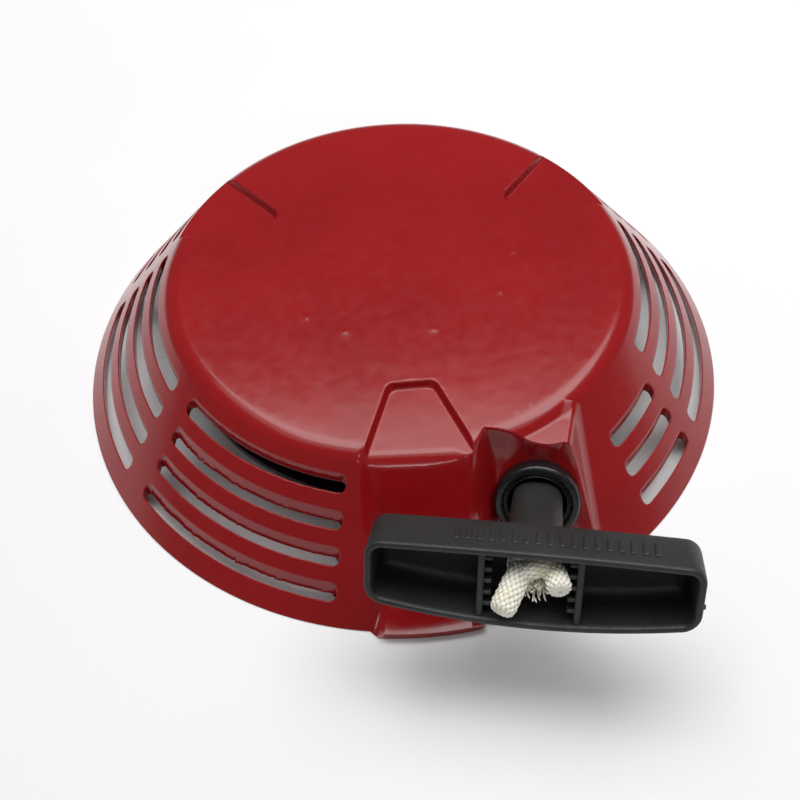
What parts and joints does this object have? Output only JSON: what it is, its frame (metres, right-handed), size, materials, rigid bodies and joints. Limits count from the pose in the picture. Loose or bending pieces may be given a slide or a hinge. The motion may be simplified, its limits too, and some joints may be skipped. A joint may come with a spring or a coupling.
{
  "type": "recoil starter",
  "caption": "Pull-rope recoil starter for a small engine: slotted red dome housing, sprung rope reel with swinging pawls, rope guide and T-handle.",
  "frame": {"origin": "on the reel's axis, in the plane of the housing's rim", "axes": "+Z along the reel's axis from the engine side to the closed top; the rope pulls out towards -Y, a little to -X and upwards"},
  "size_m": [0.23, 0.2532, 0.057],
  "materials": {
    "red_enamel": "glossy red enamel over die-cast aluminium",
    "black_plastic": "moulded nylon, satin",
    "grip_plastic": "moulded plastic, fine grain",
    "reel_plastic": "glass-filled nylon",
    "zinc_steel": "zinc plated",
    "spring_steel": "oiled spring steel",
    "dark_steel": "hardened steel, dark",
    "rope": "braided nylon"
  },
  "bodies": {
    "housing": {"housing": "red_enamel", "rope_guide": "black_plastic", "guide_clip": "spring_steel", "spindle_sleeve": "zinc_steel", "screw_washer": "zinc_steel", "centre_screw": "zinc_steel", "spring_cup": "zinc_steel", "recoil_spring": "spring_steel", "spring_cover": "zinc_steel", "rope_lead": "rope"},
    "reel": {"reel": "reel_plastic", "rope_winding": "rope", "rope_anchor_knot": "rope", "pawl_pin_1": "zinc_steel", "pawl_pin_2": "zinc_steel", "pawl_spring_1": "spring_steel", "pawl_spring_2": "spring_steel"},
    "cam_plate": {"cam_plate": "zinc_steel", "friction_spring": "spring_steel"},
    "pawl_1": {"pawl_1": "dark_steel"},
    "pawl_2": {"pawl_2": "dark_steel"},
    "handle": {"handle_grip": "grip_plastic", "handle_rope": "rope", "handle_washer": "zinc_steel", "handle_knot": "rope", "rope_end_1": "rope", "rope_end_2": "rope"}
  },
  "joints": [
    {"name": "reel_spin", "type": "hinge", "parent": "housing", "child": "reel", "pos_m": [0, 0, 0.0224], "axis": [0, 0, -1], "range_deg": [0, 960], "stiffness_Nm_per_rad": 0.02, "springref_deg": -229.18, "deforming": ["recoil_spring"]},
    {"name": "handle_pull", "type": "slide", "parent": "housing", "child": "handle", "axis": [-0.1547, -0.8775, 0.454], "range_m": [0, 0.9215], "deforming": ["rope_lead"]},
    {"name": "cam_turn", "type": "hinge", "parent": "reel", "child": "cam_plate", "pos_m": [0, 0, 0.0078], "axis": [0, 0, 1], "range_deg": [0, 12]},
    {"name": "pawl_1_swing", "type": "hinge", "parent": "reel", "child": "pawl_1", "pos_m": [0, 0.031, 0.0132], "axis": [0, 0, 1], "range_deg": [0, 24], "stiffness_Nm_per_rad": 0.0005, "springref_deg": -17.19},
    {"name": "pawl_2_swing", "type": "hinge", "parent": "reel", "child": "pawl_2", "pos_m": [0, -0.031, 0.0132], "axis": [0, 0, 1], "range_deg": [0, 24], "stiffness_Nm_per_rad": 0.0005, "springref_deg": -17.19}
  ],
  "couplings": [
    {"joint": "handle_pull", "follows": "reel_spin", "m_per_rad": 0.055},
    {"joint": "pawl_1_swing", "follows": "cam_turn", "ratio": 2},
    {"joint": "pawl_2_swing", "follows": "cam_turn", "ratio": 2}
  ]
}
